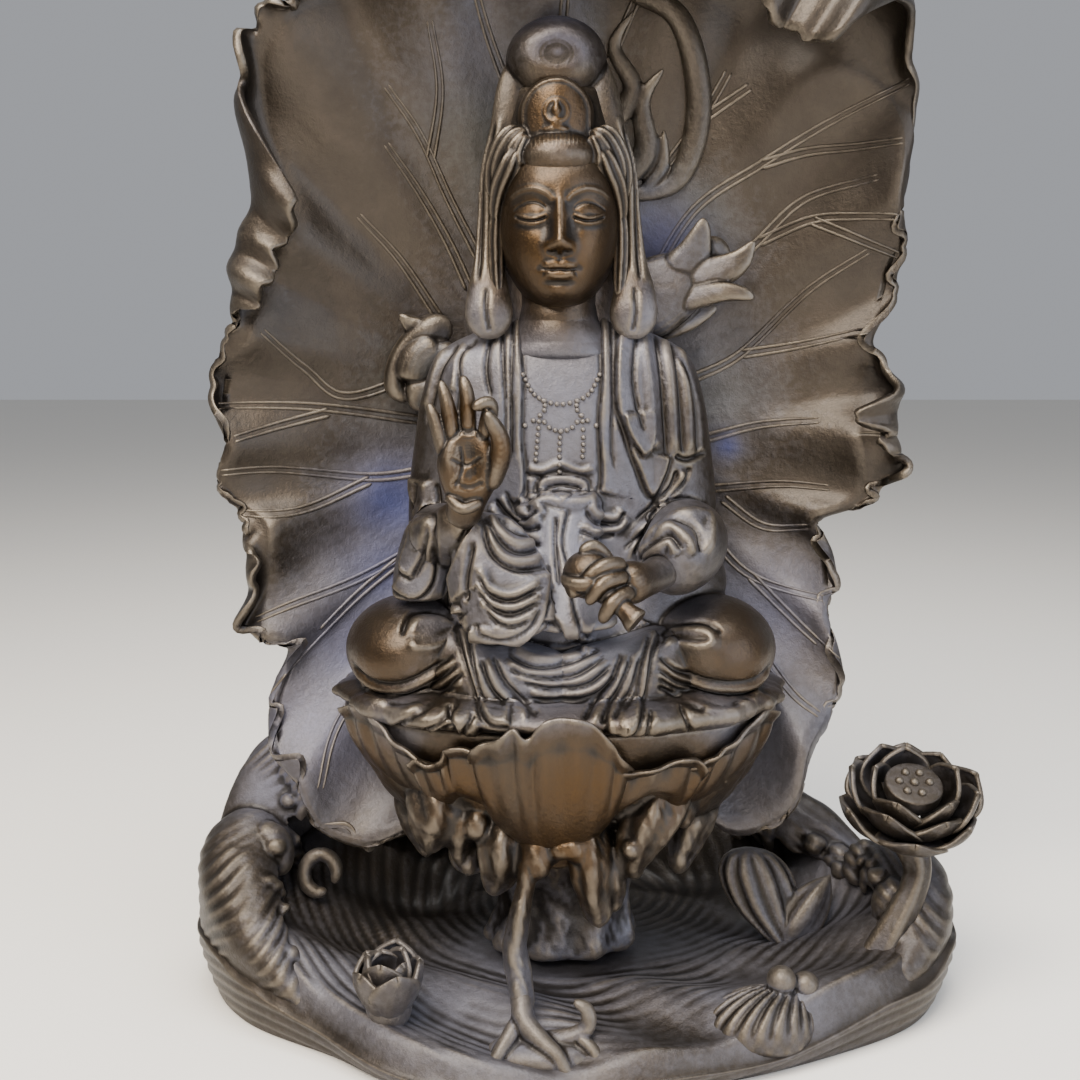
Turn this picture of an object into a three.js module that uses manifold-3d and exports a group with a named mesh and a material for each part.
// A cast bronze Guanyin, seated on a rock and lotus seat before one large curled lotus leaf,
// above a plinth of breaking waves. Three castings: the wave plinth, the leaf screen, and the
// figure with its seat. Millimetres, +Z up; the figure faces -Y; the origin is on the underside.
import * as THREE from "three";
import { mergeGeometries, mergeVertices } from "three/addons/utils/BufferGeometryUtils.js";
import Module from "manifold-3d";

const wasm = await Module();
wasm.setup();

// Driving dimensions
const SEAT_TOP = 77; // height of the seat's top face above the underside
const SEAT_WIDTH = 106;
const SEAT_DEPTH = 66;
const SEAT_Y = -10; // the seat's middle
const FIGURE_HEIGHT = 159; // from the seat's top face to the crown of the hood
const LEAF_REACH = 100; // the unit of the leaf's rim, measured from the point where its veins meet
const LEAF_Z = 140;
const LEAF_Y = 25;
const LEAF_THICKNESS = 1.9;
const LEAF_CUP = 29; // how far the leaf comes forward one reach away from its centre
const STALK_RADIUS = 5.5; // the leaf's own stalk, behind it
const PLINTH_WIDTH = 196;
const PLINTH_DEPTH = 118;
const PLINTH_X = 4; // the plinth's middle, to the right of the figure
const PLINTH_Y = -5;
const PLINTH_DECK = 11; // height of the water at the foot of the seat
const JOINT_GAP = 0.35; // what separates two castings where they meet
const CHORD_SPARE = 1.7; // what the flat facets of a curved face may stand proud of it

const TURN = Math.PI * 2;
const radians = THREE.MathUtils.degToRad;
const degreesOf = THREE.MathUtils.radToDeg;
const mix = THREE.MathUtils.lerp;
const smooth = THREE.MathUtils.smoothstep;
const at = (x, y, z) => new THREE.Vector3(x, y, z);

// Closed solids from three.js geometry

// The same triangles with nothing but their positions.
function bare(geometry) {
  const copy = new THREE.BufferGeometry();
  copy.setAttribute("position", geometry.getAttribute("position"));
  return copy.setIndex(geometry.index);
}

function solidOf(geometry) {
  const merged = mergeVertices(bare(geometry), 1e-3);
  const index = merged.index.array;
  const faces = [];
  for (let i = 0; i < index.length; i += 3) {
    const [a, b, c] = index.slice(i, i + 3);
    if (a !== b && b !== c && c !== a) faces.push([a, b, c]);
  }
  const vertProperties = new Float32Array(merged.attributes.position.array);
  const build = (list) => {
    const triVerts = new Uint32Array(list.flat());
    return new wasm.Manifold(new wasm.Mesh({ numProp: 3, vertProperties, triVerts }));
  };
  const solid = build(faces);
  return solid.volume() > 0 ? solid : build(faces.map(([a, b, c]) => [a, c, b]));
}

function geometryOf(solid) {
  const mesh = solid.getMesh();
  const geometry = new THREE.BufferGeometry();
  geometry.setAttribute("position", new THREE.BufferAttribute(mesh.vertProperties, mesh.numProp));
  geometry.setIndex(new THREE.BufferAttribute(mesh.triVerts, 1));
  return geometry;
}

// One solid from overlapping shapes; fit moves their vertices first, clear of a neighbour.
function fuse(shapes, fit, fine = 0.09) {
  const solids = shapes.map((shape) => solidOf(fit ? warp(shape, fit) : shape));
  const whole = solids.reduce((sum, solid) => sum.add(solid)).setTolerance(fine);
  return whole.decompose().reduce((best, body) => (body.volume() > best.volume() ? body : best));
}

// Moves every vertex of a geometry to where place(vertex) says.
function warp(geometry, place) {
  const position = geometry.getAttribute("position");
  const vertex = new THREE.Vector3();
  for (let i = 0; i < position.count; i++) {
    vertex.fromBufferAttribute(position, i);
    const moved = place(vertex);
    position.setXYZ(i, moved.x, moved.y, moved.z);
  }
  return geometry;
}

function ellipsoid(centre, radii, sides = 12, rings = 8) {
  const ball = new THREE.SphereGeometry(1, sides, rings).rotateX(Math.PI / 2);
  return warp(ball, (v) => v.clone().multiply(radii).add(centre));
}

// A stack of ellipses, each [x, y, z, half width, half depth].
function loft(stations, sides = 12) {
  const steps = stations.length - 1;
  const tube = new THREE.CylinderGeometry(1, 1, steps, sides, steps);
  return warp(tube, (v) => {
    const [x, y, z, wide, deep] = stations[Math.round(v.y + steps / 2)];
    return at(x + v.x * wide, y + v.z * deep, z);
  });
}

// A round limb through points given as [x, y, z, radius]; flat squashes it from front to back.
function limb(points, sides = 6, steps = (points.length - 1) * 2, flat = 1) {
  const curve = new THREE.CatmullRomCurve3(points.map((p) => at(p[0], p[1], p[2])));
  const tube = new THREE.CylinderGeometry(1, 1, steps, sides, steps);
  const chord = curve.getPoint(1).sub(curve.getPoint(0)).normalize();
  const across = Math.abs(chord.x) < 0.7 ? at(1, 0, 0) : at(0, -0.6, 0.8);
  return warp(tube, (v) => {
    const step = Math.round(v.y + steps / 2);
    const along = (step / steps) * (points.length - 1);
    const low = Math.min(Math.floor(along), points.length - 2);
    const radius = mix(points[low][3], points[low + 1][3], along - low);
    const tangent = curve.getTangent(step / steps);
    const side = tangent.clone().cross(across).normalize();
    const offset = tangent.clone().cross(side).multiplyScalar(v.x * radius);
    offset.addScaledVector(side, v.z * radius);
    offset.y *= flat;
    return curve.getPoint(step / steps).add(offset);
  });
}

// The leaf: a sheet laid out by direction and by how far out one goes

// The rim's reach by direction, as a share of LEAF_REACH; degrees run anticlockwise from the right.
const RIM = [
  [0, 0.83], [12, 0.84], [22, 0.92], [30, 1.01], [40, 1.14], [50, 1.26], [62, 1.3], [90, 1.27],
  [115, 1.29], [126, 1.26], [133, 1.14], [140, 0.96], [148, 0.92], [158, 0.87], [168, 0.9],
  [180, 0.9], [189, 0.89], [197, 0.83], [206, 0.87], [214, 0.96], [219, 0.94], [225, 1.07],
  [236, 1.17], [244, 1.16], [254, 1.03], [270, 0.9], [286, 1.0], [294, 1.12], [303, 1.12],
  [312, 1.03], [320, 0.97], [326, 0.89], [335, 0.81], [341, 0.76], [350, 0.84],
];
// Where the rim turns over towards the front: the middle of each fold and its half width in
// degrees, how far it swells sideways and forwards as shares of LEAF_REACH, and its turn.
const FOLDS = [
  { middle: 141, spread: 10, side: 0.13, forward: 0.075, turn: 185 },
  { middle: 155, spread: 8, side: 0.07, forward: 0.055, turn: 165 },
  { middle: 204, spread: 8, side: 0.06, forward: 0.055, turn: 168 },
  { middle: 2, spread: 11, side: 0.09, forward: 0.06, turn: 180 },
  { middle: 62, spread: 12, side: 0.24, forward: 0.25, turn: 185 },
  { middle: 95, spread: 26, side: 0.22, forward: 0.24, turn: 150 },
];
const OPEN_RIM = { side: 0.045, forward: 0.025, turn: 35 };
const RIM_LOBES = 20;
const NOTCH = 0.045; // depth of the notches between lobes, as a share of the reach
const FLAT_SHARE = 0.62; // how much of the way out lies before the rim's fold begins
const LEAF_SIDES = 80;
const LEAF_ROWS = 6;

// The value of a closed run of [degrees, value] pairs at an angle, on a smooth curve.
function around(pairs, degrees) {
  const angle = ((degrees % 360) + 360) % 360;
  let next = pairs.findIndex((pair) => pair[0] > angle);
  if (next < 0) next = pairs.length;
  const pick = (i) => {
    const turns = Math.floor(i / pairs.length);
    const [a, value] = pairs[i - turns * pairs.length];
    return [a + 360 * turns, value];
  };
  const [p0, p1, p2, p3] = [next - 2, next - 1, next, next + 1].map(pick);
  const span = p2[0] - p1[0];
  const t = (angle - p1[0]) / span;
  const slope1 = ((p2[1] - p0[1]) / (p2[0] - p0[0])) * span;
  const slope2 = ((p3[1] - p1[1]) / (p3[0] - p1[0])) * span;
  const t2 = t * t;
  const t3 = t2 * t;
  return (2 * t3 - 3 * t2 + 1) * p1[1] + (t3 - 2 * t2 + t) * slope1
    + (3 * t2 - 2 * t3) * p2[1] + (t3 - t2) * slope2;
}

function foldAt(degrees) {
  let total = 0;
  const sum = { side: 0, forward: 0, turn: 0 };
  for (const fold of FOLDS) {
    const off = ((degrees - fold.middle + 900) % 360) - 180;
    const weight = Math.exp(-((off / fold.spread) ** 2));
    total += weight;
    for (const key of Object.keys(sum)) sum[key] += weight * fold[key];
  }
  const blend = (key) => mix(OPEN_RIM[key], sum[key] / Math.max(total, 1e-9), Math.min(1, total));
  return { side: blend("side"), forward: blend("forward"), turn: blend("turn") };
}

// A point of the leaf's middle surface: out runs from 0 where the veins meet to 1 at the free edge.
function leafPoint(degrees, out) {
  const angle = radians(degrees);
  const fold = foldAt(degrees);
  const lobe = (RIM_LOBES / 2) * (angle + 0.03 * Math.sin(3 * angle + 1));
  const notch = NOTCH * Math.cos(lobe) ** 4;
  const reach = around(RIM, degrees) - fold.side;
  const flat = Math.min(1, out / FLAT_SHARE);
  const over = Math.max(0, (out - FLAT_SHARE) / (1 - FLAT_SHARE));
  const arc = (radians(fold.turn) * (fold.side + fold.forward)) / 2;
  const open = Math.max(0, 1 - arc / 0.15);
  const bend = radians(fold.turn) * over * (1 - ((1 - open) * notch * over) / arc);
  const frill = flat ** 5 * (1 - 0.5 * over);
  const r = reach * flat - open * notch * flat ** 4 + fold.side * Math.sin(bend);
  const cup = (LEAF_CUP / LEAF_REACH) * (1 - 0.55 * smooth(Math.sin(angle), 0, 1));
  let forward = cup * (reach * flat) ** 2 + fold.forward * (1 - Math.cos(bend));
  forward += frill * (0.02 * Math.cos(2 * lobe) + 0.03 * Math.cos(7 * angle + 0.6));
  return at(
    r * LEAF_REACH * Math.cos(angle),
    LEAF_Y - forward * LEAF_REACH,
    LEAF_Z + r * LEAF_REACH * Math.sin(angle),
  );
}

// The direction that the front of the sheet faces, over one facet each way.
function leafNormal(degrees, out) {
  if (out < 0.02) return at(0, -1, 0);
  const turn = 360 / LEAF_SIDES;
  const step = 1 / LEAF_ROWS;
  const across = leafPoint(degrees + turn, out).sub(leafPoint(degrees - turn, out));
  const outward = leafPoint(degrees, Math.min(1, out + step)).sub(leafPoint(degrees, out - step));
  return outward.cross(across).normalize();
}

// The sheet: a front and a back with the same facets, and the strip of the free edge.
function leafSheet() {
  const half = LEAF_THICKNESS / 2;
  const place = (across, up, out, face) => {
    const spoke = Math.round((Math.atan2(up, across) / TURN) * LEAF_SIDES + LEAF_SIDES) % LEAF_SIDES;
    const degrees = (spoke / LEAF_SIDES) * 360;
    const thin = 1 - 0.35 * smooth(out, FLAT_SHARE, 1);
    return leafPoint(degrees, out).addScaledVector(leafNormal(degrees, out), face * half * thin);
  };
  const side = (face) => {
    const ring = bare(new THREE.RingGeometry(0, 1, LEAF_SIDES, LEAF_ROWS));
    if (face < 0) ring.index.array.reverse();
    return warp(ring, (v) => {
      return place(v.x, v.y, Math.round(Math.hypot(v.x, v.y) * LEAF_ROWS) / LEAF_ROWS, face);
    });
  };
  const edge = bare(new THREE.CylinderGeometry(1, 1, 2, LEAF_SIDES, 1, true));
  return mergeGeometries([side(1), side(-1), warp(edge, (v) => place(v.z, v.x, 1, v.y))]);
}

// Brings a point that would reach the leaf forward to rest against it, a gap away.
function againstLeaf(point) {
  const degrees = degreesOf(Math.atan2(point.z - LEAF_Z, point.x));
  const reach = (around(RIM, degrees) - foldAt(degrees).side) * LEAF_REACH;
  const share = Math.hypot(point.x, point.z - LEAF_Z) / reach;
  if (share > 1.2 || point.y < -LEAF_Y) return point;
  const over = Math.max(0, share - 1);
  const face = leafPoint(degrees, Math.min(1, share) * FLAT_SHARE + over * 1.5).y;
  point.y = Math.min(point.y, face - LEAF_THICKNESS / 2 - JOINT_GAP - CHORD_SPARE * (1 + 2 * share ** 6));
  return point;
}

// The ribbon's loop and the flames inside it, in relief beside the head. They lie on the leaf, so
// each place is [degrees, share of the way out to the fold, half width].
const RIBBON_LOOP = [[82, 1, 2.2], [74, 0.96, 3.2], [67, 0.84, 3.4], [65, 0.67, 3], [75, 0.56, 2]];
const FLAMES = [
  [[76, 0.59, 3.6], [75, 0.71, 3.2], [75, 0.84, 0.8]],
  [[81, 0.73, 3.4], [78, 0.83, 2.6], [81, 0.93, 0.8]],
];

function leafRelief() {
  return [RIBBON_LOOP, ...FLAMES].map((line) => {
    const points = line.map(([degrees, share, half]) => {
      return [...leafPoint(degrees, share * FLAT_SHARE), half];
    });
    return limb(points, 4, (points.length - 1) * 2 - (points.length > 4 ? 2 : 0));
  });
}

const STALK_FOOT_Y = LEAF_Y + 9;

function leafScreen() {
  const stalk = limb([
    [0, LEAF_Y + 1, LEAF_Z + 5, STALK_RADIUS * 0.6],
    [0, LEAF_Y + 10, LEAF_Z - 18, STALK_RADIUS],
    [2, LEAF_Y + 13, LEAF_Z * 0.6, STALK_RADIUS],
    [-2, LEAF_Y + 11, LEAF_Z * 0.3, STALK_RADIUS * 1.3],
    [0, STALK_FOOT_Y, PLINTH_DECK - 6, STALK_RADIUS * 2],
  ], 6, 4);
  const whole = fuse([leafSheet(), stalk, ...leafRelief()]);
  return whole.trimByPlane([0, 0, 1], PLINTH_DECK + JOINT_GAP);
}

// The seat: a bowl of rock and petals, with drips and a column down to the water

const SEAT_DROP = 29; // from the seat's top face to the bottom of its bowl
const COLUMN_Y = SEAT_Y - 2;
const COLUMN_WIDE = 27;
const COLUMN_DEEP = 17;
const PETAL_THICKNESS = 2.4;

// The bowl's half width and half depth at a height.
function bowlAt(z) {
  const down = THREE.MathUtils.clamp((SEAT_TOP - z) / SEAT_DROP, 0, 1);
  const share = 1 - 0.34 * down ** 1.7;
  return [(SEAT_WIDTH / 2) * share, (SEAT_DEPTH / 2) * share];
}

// A petal that hugs the bowl: angle and half angle in degrees (270 is the front), its top and
// bottom heights, the number of scallops along its top edge, how far it stands off, and its lean.
function petal({ angle, half, top, bottom, scallops, stand, lean }) {
  const sheet = new THREE.BoxGeometry(2, 1, 1, scallops * 3, 3, 1);
  return warp(sheet, (v) => {
    const up = v.y + 0.5;
    const width = Math.sin(Math.PI * Math.min(1, 0.16 + up * 0.62)) ** 0.8;
    const scallop = Math.abs(Math.sin((v.x * scallops * Math.PI) / 2));
    const z = mix(bottom + 5 * v.x * v.x, top - 5 * (1 - scallop) - 3 * v.x * v.x, up);
    const turned = radians(angle + half * v.x * width + lean * up);
    const [wide, deep] = bowlAt(z);
    const outer = stand * Math.sin(Math.PI * (up * 0.7 + 0.15)) + 2.5 * up ** 4;
    const out = v.z > 0 ? outer * (1 - 0.4 * v.x * v.x) : outer * 0.3 - PETAL_THICKNESS;
    return at((wide + out) * Math.cos(turned), SEAT_Y + (deep + out) * Math.sin(turned), z);
  });
}

const PETALS = [
  { angle: 270, half: 60, top: 79, bottom: 47, scallops: 4, stand: 5, lean: 0 },
  { angle: 222, half: 30, top: 73, bottom: 51, scallops: 2, stand: 4, lean: -4 },
  { angle: 318, half: 30, top: 74, bottom: 52, scallops: 2, stand: 4, lean: 4 },
];

function seat() {
  const stations = [];
  for (let i = 0; i <= 3; i++) {
    const z = SEAT_TOP - 1 - (SEAT_DROP * i) / 3;
    const [wide, deep] = bowlAt(z);
    // the back draws in faster than the front, clear of the leaf
    const slack = 0.11 * i;
    stations.push([0, SEAT_Y - deep * slack, z, wide, deep * (1 - slack)]);
  }
  const [wide, deep] = bowlAt(SEAT_TOP);
  const bowl = loft([[0, SEAT_Y, SEAT_TOP, wide - 2.5, deep - 2.5], ...stations], 24);
  const column = loft([
    [0, COLUMN_Y - 2, SEAT_TOP - SEAT_DROP + 4, 30, 17],
    [-1, COLUMN_Y - 2, 40, 26, 16],
    [2, COLUMN_Y, 26, 21, 14],
    [0, COLUMN_Y, PLINTH_DECK + JOINT_GAP, COLUMN_WIDE, COLUMN_DEEP],
  ], 8);
  const drips = [];
  const count = 8;
  for (let i = 0; i < count; i++) {
    const angle = radians(mix(208, 332, i / (count - 1)) + 5 * Math.sin(i * 2.6));
    const root = 0.62 + 0.05 * Math.sin(i * 1.7);
    const x = (SEAT_WIDTH / 2) * root * Math.cos(angle);
    const y = SEAT_Y + (SEAT_DEPTH / 2) * (root + 0.12) * Math.sin(angle);
    const tip = 33 + 7 * Math.sin(i * 2.1 + 0.5) + 4 * Math.cos(angle) ** 2;
    const thick = 4.2 + 1.2 * Math.sin(i * 3.3);
    const sway = 2 * Math.sin(i * 1.3);
    drips.push(limb([
      [x, y, SEAT_TOP - SEAT_DROP + 6, thick + 1],
      [x + sway, y * 0.99, mix(tip, 50, 0.45), thick],
      [x, y * 0.97, tip, 1],
    ], 4, 2));
  }
  const stream = limb([
    [-9, -37, 50, 2.4], [-10, -40, 38, 1.4], [-9, -42, 26, 1.6], [-9, -45, PLINTH_DECK + 6, 1.3],
  ], 3, 2);
  return [bowl, column, ...drips, stream, ...PETALS.map((spec) => petal(spec))];
}

// The seated figure

const CROWN = SEAT_TOP + FIGURE_HEIGHT;

function head() {
  return [
    ellipsoid(at(-0.5, -5.5, CROWN - 48.5), at(15.4, 14.5, 18.3), 10, 7),
    ellipsoid(at(-0.5, -18.5, CROWN - 50), at(2.4, 3.6, 5.5), 4, 3),
    loft([[0, -3, CROWN - 74, 11, 10], [-0.5, -4, CROWN - 58, 9, 9]], 8),
    ellipsoid(at(-0.5, -5, CROWN - 36), at(17.2, 15, 9.5), 10, 4),
    ellipsoid(at(-0.5, -11, CROWN - 21.5), at(8.2, 6, 10), 8, 4),
    loft([
      [-0.5, 0, CROWN, 3, 3],
      [-0.5, 0, CROWN - 3, 8.5, 8.5],
      [-0.5, 1, CROWN - 13, 13, 12],
      [-0.5, 4, CROWN - 30, 17, 12],
      [0, 5, CROWN - 46, 19.8, 12],
      [0, 6, CROWN - 65, 21, 12],
      [0, 5, CROWN - 76, 26, 12],
    ], 11),
  ];
}

// The robe from the neck to the lap, sleeves and all: [z, half width, front, back].
const ROBE = [
  [169, 11, -5, 11], [165.5, 21, -9.5, 14], [160, 30.5, -13, 16], [150, 34.5, -15.5, 17], [138, 36.5, -16.5, 17],
  [126, 38, -17, 18], [114, 38.5, -18, 18], [104, 41, -20, 18], [94, 37, -25, 18], [84, 30, -26, 16],
];

function robe() {
  const steps = ROBE.length - 1;
  const square = (share) => Math.sign(share) * Math.abs(share) ** 0.8;
  const tube = new THREE.CylinderGeometry(1, 1, steps, 24, steps);
  return warp(tube, (v) => {
    const [z, half, front, back] = ROBE[steps - Math.round(v.y + steps / 2)];
    const pleat = v.z < 0 ? 1 + 0.05 * Math.sin(Math.atan2(v.z, v.x) * 12) * smooth(half, 20, 34) : 1;
    const deep = ((back - front) / 2) * square(v.z) * pleat;
    return at(0.5 + half * square(v.x), (front + back) / 2 + deep, z);
  });
}

// The skirts spread over the seat, with a fluted hem.
function skirt() {
  const disc = new THREE.SphereGeometry(1, 28, 4).rotateX(Math.PI / 2);
  return warp(disc, (v) => {
    const flute = 1 + 0.03 * Math.sin(Math.atan2(v.y, v.x) * 14) * Math.hypot(v.x, v.y);
    return at(v.x * 50.5 * flute, SEAT_Y - 2 + v.y * 31 * flute, SEAT_TOP + 5 + v.z * 6.5);
  });
}

function limbs() {
  const solids = [];
  for (const side of [-1, 1]) {
    solids.push(
      // hair and veil falling in front of the shoulder
      limb([[side * 16.5, -7, 190, 3], [side * 17, -10, 174, 4], [side * 17, -13, 160, 4]], 5, 2),
      // knee and shin
      ellipsoid(at(side * 36.5, -14, 90.5), at(15.2, 17.5, 12.4), 10, 5),
      limb([[side * 34, -20, 88, 11.5], [side * 18, -28, 87, 10], [side * -4, -33, 86, 7]], 7, 2),
    );
  }
  // raised right forearm, and the rounded fall of its sleeve before the lap
  solids.push(
    limb([[-30, -10, 117, 8.5], [-26, -24, 119, 7], [-21, -35, 127, 4.6]], 6, 2),
    loft([
      [-18, -28, 125, 6, 5], [-15, -32, 116, 10, 6.5], [-13.5, -35, 107, 11, 6.5], [-13, -37, 100.5, 9.5, 5.5],
      [-12.7, -38, 97.5, 4.5, 3.5],
    ], 8),
    loft([[-29, -18, 121, 7, 8], [-33.5, -22, 103, 6, 5]], 6),
  );
  // left forearm across the lap, in a wide cuff, and the sash between the knees
  solids.push(
    limb([[31, -9, 118, 9.4], [28.5, -22, 115.5, 9.6], [22, -33, 112, 7.8]], 8, 2),
    limb([[23, -30, 112, 4.2], [17, -38, 110.5, 3.6], [12, -42, 110, 4.6]], 6, 2),
    loft([[0, -16, 129, 10, 4], [0, -24, 112, 9, 5], [2, -33, 98, 12, 5]], 7),
  );
  return solids;
}

function hands() {
  const right = [
    [[-17.4, -37.5, 142, 2], [-15.8, -39, 149.5, 1.8], [-19.6, -41.5, 149.2, 1.3]],
    [[-16, -37.5, 132, 2.4], [-13.4, -40, 141, 2.1], [-17, -42, 148.6, 1.4]],
    [[-20.6, -37, 142, 2], [-20.8, -36.5, 151, 1.7], [-22, -35.5, 156, 1.1]],
    [[-23.4, -37, 140, 2], [-25, -36.5, 149, 1.7], [-26.8, -35.5, 155, 1.1]],
    [[-25.4, -37, 137, 1.9], [-27.6, -36.5, 145, 1.6], [-29.4, -36, 150, 1]],
  ];
  const left = [
    [[14, -44, 113, 2], [8.5, -48, 112, 1.8], [5, -48, 107.5, 1.4]],
    [[15, -45, 110, 2], [10.5, -49, 108, 1.8], [8, -48, 103.5, 1.4]],
    [[11, -41, 114.5, 1.8], [7, -42, 119, 1.6], [3.4, -43, 118, 1.3]],
  ];
  const palm = limb([[-20.8, -36, 126.5, 4.4], [-20.6, -37, 137, 6.8], [-20.6, -37, 144.5, 4]], 6, 2, 0.6);
  const vase = [
    ellipsoid(at(5.5, -42, 113), at(5.6, 5.2, 5.4), 7, 4),
    limb([[4, -44, 113, 3.4], [11, -47.5, 107.6, 2.2], [15.7, -50, 104.2, 2.9]], 6, 2),
    limb([[4, -45, 111, 2], [0.8, -46.5, 110, 1.7]], 5, 1),
  ];
  return [palm, ...[...right, ...left].map((finger) => limb(finger, 4, 2)), ...vase];
}

// Ribbon ends and a cloud curl that fly out beside the shoulders
function ribbons() {
  const strands = [
    [[18, 9, 171, 5], [32, 7, 177, 4], [34.7, 3, 192, 0.9]],
    [[24, 8, 172, 5], [41, 6, 176, 3], [46.5, 4, 187, 0.9]],
    [[20, 9, 168, 5], [36, 5, 168.5, 4], [47.5, 2, 174.5, 0.9]],
    [[-24, 10, 168, 5], [-33, 9, 169, 4], [-39, 8, 171.5, 1.2]],
    [[-26, 11, 160, 5], [-38, 10, 162, 4], [-44.5, 9, 148, 1.2]],
  ];
  return strands.map((strand) => limb(strand, 4, 2));
}

// Folds of cloth, as thin ridges laid on the front of the body

const FOLD_STEPS = 4;

// A hanging curve between two places of the front view, [x, z] each.
function swag(from, to, sag) {
  const middle = [(from[0] + to[0]) / 2, (from[1] + to[1]) / 2 - sag];
  const near = (end) => [mix(end[0], middle[0], 0.45), mix(end[1], middle[1], 0.75)];
  return [from, near(from), middle, near(to), to];
}

function foldPaths() {
  const paths = [
    // the two lapels, the cape's point over the left shoulder, and the belt
    { places: [[-14.5, 168], [-13, 148], [-10.5, 127]], radius: 1.5 },
    { places: [[12, 168], [12.5, 148], [11, 127]], radius: 1.5 },
    { places: [[20, 166], [19, 148], [21.5, 128]], radius: 1.4 },
    { places: swag([-10, 126], [10, 126], -5), radius: 1.4 },
  ];
  for (let i = 0; i < 2; i++) {
    // nested swags across the lap, and on the sleeve's rounded fall
    paths.push({ places: swag([-17 + i, 98 - i], [22 - i, 98 - i], 7 + 5 * i), radius: 1.5 });
    paths.push({ places: swag([-23.5, 117 - 8 * i], [-4.5, 117 - 8 * i], 5), radius: 1.4 });
  }
  for (const side of [-1, 1]) {
    paths.push({ places: swag([side * 48, 83.5], [side * 22, 88], 5), radius: 1.5 });
  }
  return paths;
}

function folds(body) {
  const target = new THREE.Mesh(geometryOf(body));
  const ray = new THREE.Raycaster();
  return foldPaths().map(({ places, radius }) => {
    const line = new THREE.CatmullRomCurve3(places.map(([x, z]) => at(x, 0, z)));
    const points = [];
    for (let i = 0; i <= FOLD_STEPS; i++) {
      const place = line.getPoint(i / FOLD_STEPS);
      ray.set(at(place.x, -SEAT_WIDTH, place.z), at(0, 1, 0));
      const [hit] = ray.intersectObject(target);
      if (hit) points.push([place.x, hit.point.y, place.z, i % FOLD_STEPS ? radius : radius * 0.6]);
    }
    return limb(points, 4, points.length - 1);
  });
}

function guanyin() {
  const back = ellipsoid(at(0, 14, SEAT_TOP + 51), at(28, 15, FIGURE_HEIGHT * 0.39), 10, 6);
  const body = [robe(), back, skirt(), ...limbs()];
  const shapes = [...body, ...folds(fuse(body)), ...head(), ...hands(), ...ribbons(), ...seat()];
  return fuse(shapes, againstLeaf);
}

// The plinth of waves

const PLINTH_SIDES = 44;
const PLINTH_ROWS = 6;
// The plinth's outline, as shares of its half width and half depth, and how high its rim rises.
const SHORE = [
  [0, 1], [28, 0.95], [60, 1.02], [90, 0.98], [120, 1], [150, 0.96], [180, 1], [205, 0.97],
  [228, 0.93], [248, 1.02], [270, 1], [292, 0.95], [312, 0.94], [335, 0.99],
];
const RIM_RISE = [
  [0, 14], [40, 17], [90, 14], [140, 18], [180, 15], [215, 8], [245, -2], [270, -4], [295, 0], [325, 7],
];
const PADS = [
  { x: 0, y: COLUMN_Y, wide: COLUMN_WIDE + 1, deep: COLUMN_DEEP + 1 },
  { x: 0, y: STALK_FOOT_Y, wide: STALK_RADIUS * 2 + 7, deep: STALK_RADIUS * 2 + 2 },
];

// Where a direction and a share of the way out lie on the plan.
function shorePlace(degrees, share) {
  const reach = around(SHORE, degrees) * share;
  return [
    PLINTH_X + (PLINTH_WIDTH / 2) * reach * Math.cos(radians(degrees)),
    PLINTH_Y + (PLINTH_DEPTH / 2) * reach * Math.sin(radians(degrees)),
  ];
}

function waterAt(degrees, share) {
  const [x, y] = shorePlace(degrees, share);
  let height = PLINTH_DECK + around(RIM_RISE, degrees) * smooth(share, 0.5, 0.93);
  height += 1.5 * Math.sin((y + 0.35 * x) / 4.2 + 1.5 * Math.sin(x / 19)) * smooth(share, 0.3, 0.5);
  for (const pad of PADS) {
    const near = Math.hypot((x - pad.x) / pad.wide, (y - pad.y) / pad.deep);
    height = mix(PLINTH_DECK, height, smooth(near, 1.3, 1.9));
  }
  return height;
}

function water() {
  const profile = [];
  for (let i = 0; i <= PLINTH_ROWS; i++) profile.push(new THREE.Vector2(i / PLINTH_ROWS, 1));
  profile.push(new THREE.Vector2(1.01, 0.5), new THREE.Vector2(1, 0), new THREE.Vector2(0, 0));
  return warp(new THREE.LatheGeometry(profile, PLINTH_SIDES), (v) => {
    const share = Math.hypot(v.x, v.z);
    const degrees = degreesOf(Math.atan2(v.z, v.x));
    const rounded = share > 0.99 ? 0.99 : share;
    const [x, y] = shorePlace(degrees, v.y > 0 ? share * 0.985 : share * 0.97);
    const edge = v.y > 0.9 ? 1 - 0.35 * smooth(share, 0.92, 1) : v.y;
    return at(x, y, waterAt(degrees, rounded) * edge);
  });
}

// A wave that rises at the rim and breaks inwards: where it runs, in degrees, its crest's height,
// the radius of its curl, and how far out it stands.
const CRESTS = [
  { from: 138, to: 192, height: 58, curl: 13, share: 0.92, foam: 4 },
  { from: 186, to: 236, height: 31, curl: 8, share: 0.93, foam: 4 },
  { from: 298, to: 340, height: 19, curl: 6.5, share: 0.94, foam: 3 },
  { from: 336, to: 410, height: 38, curl: 10, share: 0.92, foam: 4 },
  { from: 112, to: 146, height: 34, curl: 8, share: 0.94, foam: 3 },
];

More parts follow.
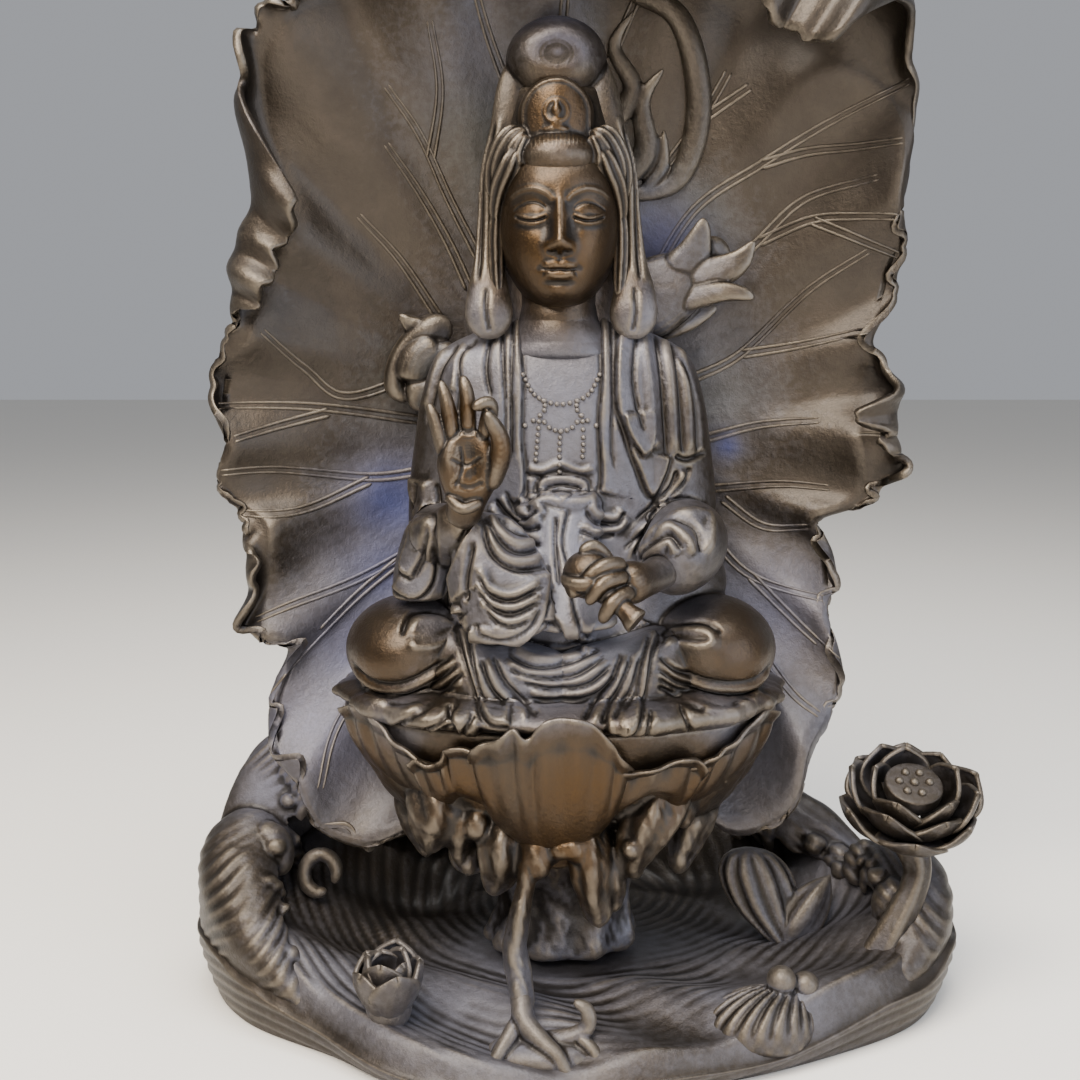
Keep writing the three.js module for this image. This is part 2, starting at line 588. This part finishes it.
function crest({ from, to, height, curl, share, foam }) {
  const sheet = new THREE.BoxGeometry(1, 1, 1, 6, 4, 1);
  return warp(sheet, (v) => {
    const along = v.x + 0.5;
    const up = v.y + 0.5;
    const swell = Math.sin(Math.PI * (0.06 + 0.88 * along)) ** 0.7;
    const radius = curl * swell;
    const top = mix(PLINTH_DECK + 4, height, swell) + 1.5 * Math.sin(along * 9);
    const rise = 0.34;
    const bend = radians(Math.max(0, (up - rise) / (1 - rise)) * (190 + 20 * Math.sin(along * foam * TURN)));
    const thick = (v.z * mix(7, 2.2, up)) / 1;
    const inward = radius * (1 - Math.cos(bend)) + thick * Math.cos(bend);
    const z = up < rise
      ? mix(3, top - radius, up / rise)
      : top - radius + (radius - thick) * Math.sin(bend);
    const degrees = mix(from, to, along);
    const [x, y] = shorePlace(degrees, share);
    const [cx, cy] = [x - PLINTH_X, y - PLINTH_Y];
    const length = Math.hypot(cx, cy);
    return at(x - (cx / length) * inward, y - (cy / length) * inward, z);
  });
}

// A lotus flower: tiers of pointed petals round a pod.
function lotus(centre, radius, tiers) {
  return tiers.map(({ petals, wide, low, high, turn }) => {
    const bowl = new THREE.SphereGeometry(1, petals * 2, 4).rotateX(Math.PI / 2);
    return warp(bowl, (v) => {
      const angle = Math.atan2(v.y, v.x);
      const point = Math.abs(Math.cos((angle * petals) / 2 + turn));
      const share = Math.hypot(v.x, v.y);
      const out = share * (0.74 + 0.26 * point) * wide * radius;
      const rise = share ** 3 * (0.55 + 0.45 * point);
      const lift = Math.min(v.z, 0.25) * radius * 0.35;
      return at(out * Math.cos(angle), out * Math.sin(angle), mix(low, high, rise) + lift).add(centre);
    });
  });
}

const FLOWER = at(...shorePlace(349, 0.845), 47);
const BUD = at(...shorePlace(237, 0.84), 19);

function flowers() {
  const [backX, backY] = shorePlace(359, 0.49);
  const bloom = lotus(FLOWER, 18, [
    { petals: 8, wide: 1, low: -4, high: 6, turn: 0 },
    { petals: 7, wide: 0.68, low: 0, high: 16, turn: 0 },
  ]);
  const bloomStalk = limb([
    [FLOWER.x - 1, FLOWER.y, FLOWER.z - 4, 5], [FLOWER.x + 2, FLOWER.y - 4, 34, 3.4], [FLOWER.x - 5, FLOWER.y - 8, 20, 4], [FLOWER.x - 12, FLOWER.y - 8, 9, 5],
  ], 5, 4);
  const bud = lotus(BUD, 11, [
    { petals: 6, wide: 0.95, low: -5, high: 9, turn: 0 },
  ]);
  const budFoot = ellipsoid(at(BUD.x, BUD.y + 1, BUD.z - 7), at(9, 8, 8), 7, 4);
  const stack = (rows, sides) => {
    return loft(rows.map(([x, y, z, wide, deep]) => [backX + x, backY + y, z, wide, deep]), sides);
  };
  const backBud = stack([[0, 0, 12, 12, 7], [0, 1, 22, 12, 7], [0, 2, 32, 8, 5], [-1, 3, 38, 1.5, 1.5]], 8);
  const sideLeaf = stack([[14, 0, 12, 9, 5], [17, 1, 24, 6, 4], [19, 2, 33, 1.2, 1.2]], 6);
  return [...bloom, bloomStalk, ...bud, budFoot, backBud, sideLeaf];
}

// The ribbed fan of foam at the front right, its knobs, and the splash below the stream
function spray() {
  const [fanX, fanY] = shorePlace(304, 0.83);
  const fan = new THREE.SphereGeometry(1, 20, 4).rotateX(Math.PI / 2);
  const ribbed = warp(fan, (v) => {
    const rib = 1 + 0.08 * Math.cos(Math.atan2(v.y, v.x) * 10) * Math.hypot(v.x, v.y);
    return at(fanX + v.x * 17 * rib, fanY + v.y * 11 * rib, PLINTH_DECK - 1 + v.z * 9);
  });
  const solids = [ribbed];
  for (let i = 0; i < 3; i++) {
    const angle = radians(45 + i * 45);
    const rise = PLINTH_DECK + 6.5 + Math.sin(i * 2);
    const knob = at(fanX - 1 + 14 * Math.cos(angle), fanY + 6 * Math.sin(angle), rise);
    solids.push(ellipsoid(knob, at(3.6, 3.2, 3.4), 6, 4));
  }
  for (let i = 0; i < 3; i++) {
    const angle = radians(205 + i * 60);
    const tip = [-9 + 11 * Math.cos(angle), -51 + 6 * Math.sin(angle)];
    solids.push(limb([[-9, -50, 8, 4.5], [mix(-9, tip[0], 0.6), mix(-50, tip[1], 0.6), 13, 2.6], [...tip, 12, 1.2]], 4, 2));
  }
  return solids;
}

function wavePlinth() {
  const whole = fuse([water(), ...CRESTS.map((spec) => crest(spec)), ...flowers(), ...spray()]);
  return whole.trimByPlane([0, 0, 1], 0);
}

// The castings

const figure = guanyin();
const screen = leafScreen();
const plinth = wavePlinth();

const group = new THREE.Group();
function add(name, solid, color, roughness) {
  const mesh = new THREE.Mesh(geometryOf(solid), new THREE.MeshStandardMaterial({ color, roughness, metalness: 1 }));
  mesh.name = name;
  group.add(mesh);
}
add("guanyin", figure, 0x6b5a3c, 0.45);
add("leaf_screen", screen, 0x4a4136, 0.55);
add("wave_plinth", plinth, 0x453b35, 0.5);

export default group;
